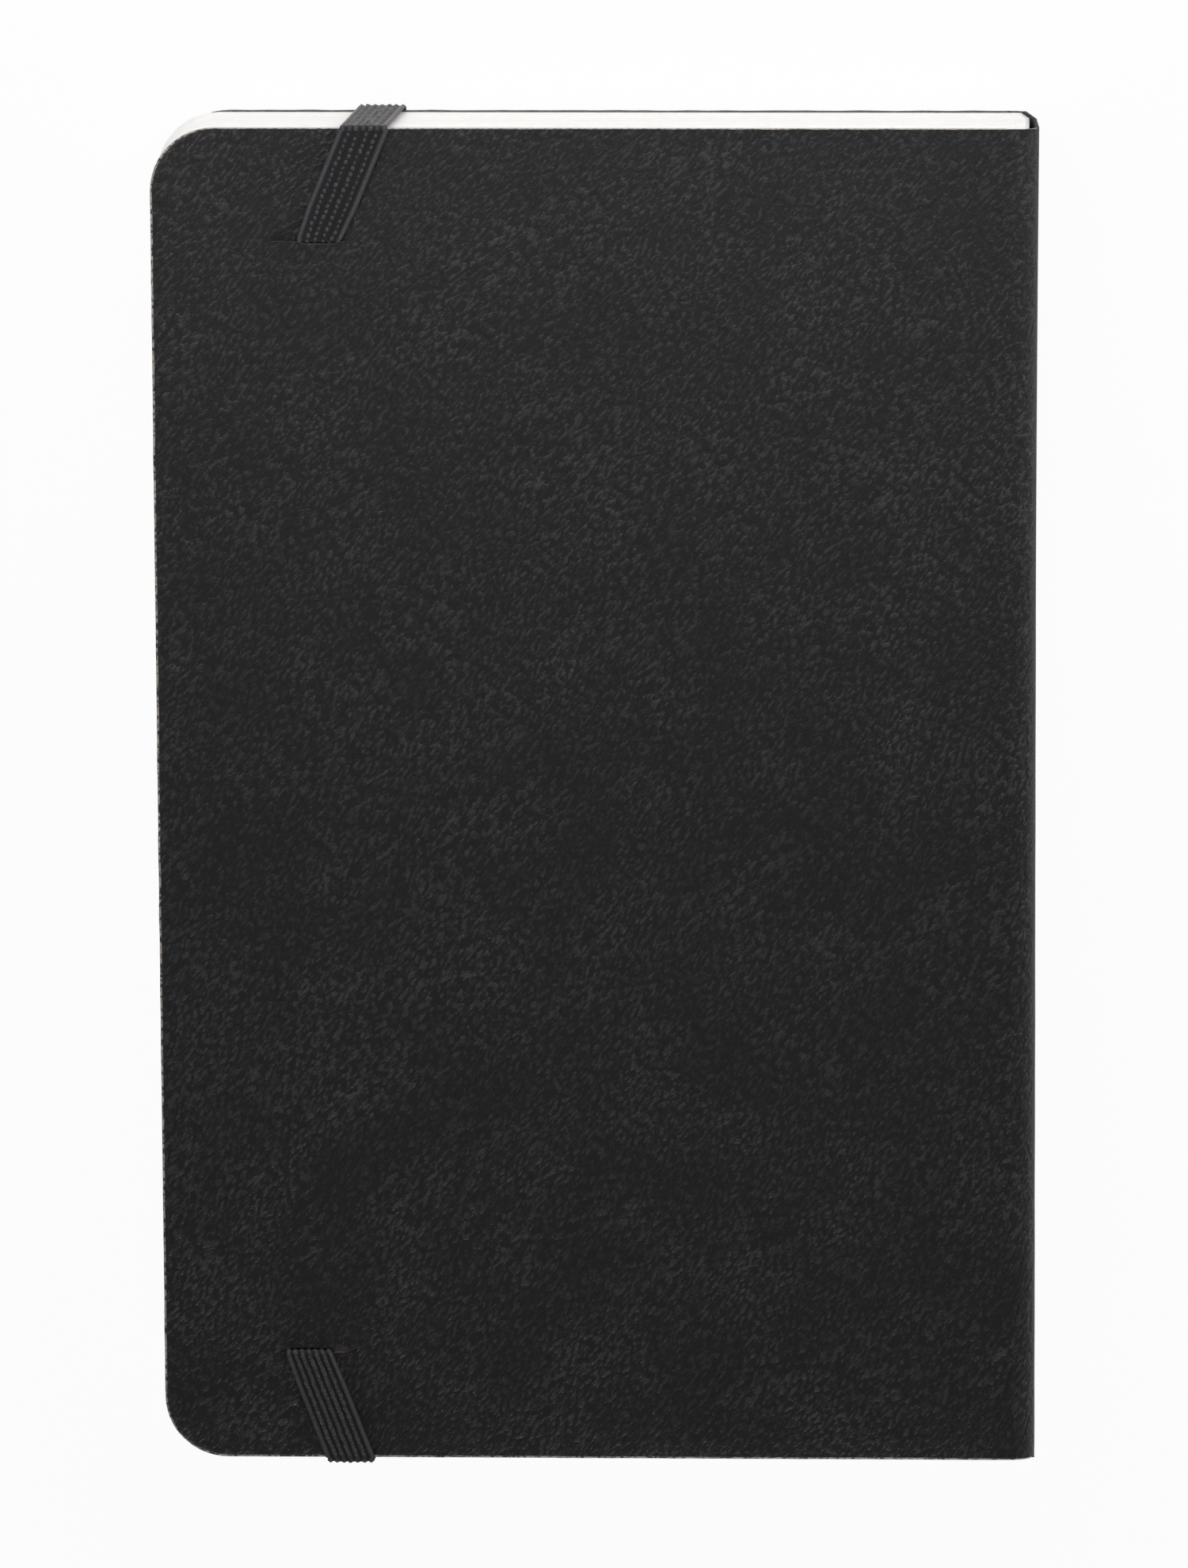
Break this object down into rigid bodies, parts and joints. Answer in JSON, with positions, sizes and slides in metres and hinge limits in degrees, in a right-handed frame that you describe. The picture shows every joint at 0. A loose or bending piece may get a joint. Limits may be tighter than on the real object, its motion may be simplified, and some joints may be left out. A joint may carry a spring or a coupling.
{
  "type": "pocket notebook",
  "caption": "Closed pocket notebook with a black flexible grained cover, rounded fore-edge corners, sewn cream leaves and an elastic band that loops round it through two slots.",
  "frame": {"origin": "bottom centre: under the middle of the closed notebook, at the level of the band's underside, which it rests on", "axes": "+Y from foot to head along the pages, +X from the fore edge to the spine, +Z out of the back cover, which faces up"},
  "size_m": [0.09, 0.1412, 0.0122],
  "materials": {
    "cover_skin": "black artificial leather with a fine pebbled grain, satin",
    "cover_card": "pale flexible card",
    "endpaper": "smooth uncoated ivory paper, heavier than the leaves",
    "paper": "smooth uncoated ivory writing paper",
    "thread": "white twisted sewing thread",
    "lining_cloth": "open-weave lining cloth set in clear glue",
    "elastic": "black knitted elastic with lengthwise ribs, matte"
  },
  "bodies": {
    "block_front": {"front_flyleaf": "endpaper", "section_01": "paper", "section_02": "paper", "section_03": "paper", "section_04": "paper", "section_05": "paper", "section_06": "paper", "front_sewing_thread": "thread", "front_block_lining": "lining_cloth", "front_spine_board": "cover_card", "front_spine_skin": "cover_skin"},
    "front_cover": {"front_cover_skin": "cover_skin", "front_cover_board": "cover_card", "front_pastedown": "endpaper"},
    "block_back": {"section_07": "paper", "section_08": "paper", "section_09": "paper", "section_10": "paper", "section_11": "paper", "section_12": "paper", "back_flyleaf": "endpaper", "back_sewing_thread": "thread", "back_block_lining": "lining_cloth", "back_spine_board": "cover_card", "back_spine_skin": "cover_skin"},
    "back_cover": {"back_pastedown": "endpaper", "back_cover_board": "cover_card", "back_cover_skin": "cover_skin", "elastic_hidden_run": "elastic", "elastic_head_tail": "elastic", "elastic_foot_tail": "elastic"},
    "elastic_loop": {"elastic_front_span": "elastic", "elastic_head_wrap": "elastic", "elastic_foot_wrap": "elastic"}
  },
  "joints": [
    {"name": "front_cover_hinge", "type": "hinge", "parent": "block_front", "child": "front_cover", "pos_m": [0.0451, 0, 0.0005], "axis": [0, -1, 0], "range_deg": [0, 180]},
    {"name": "page_opening", "type": "hinge", "parent": "block_front", "child": "block_back", "pos_m": [0.0451, 0, 0.00613], "axis": [0, 1, 0], "range_deg": [0, 180]},
    {"name": "back_cover_hinge", "type": "hinge", "parent": "block_back", "child": "back_cover", "pos_m": [0.0451, 0, 0.01175], "axis": [0, 1, 0], "range_deg": [0, 180]},
    {"name": "elastic_pull", "type": "slide", "parent": "back_cover", "child": "elastic_loop", "axis": [-1, 0, 0], "range_m": [0, 0.028], "stiffness_N_per_m": 60, "deforming": ["elastic_hidden_run", "elastic_head_tail", "elastic_foot_tail", "elastic_front_span", "elastic_head_wrap", "elastic_foot_wrap"]}
  ]
}
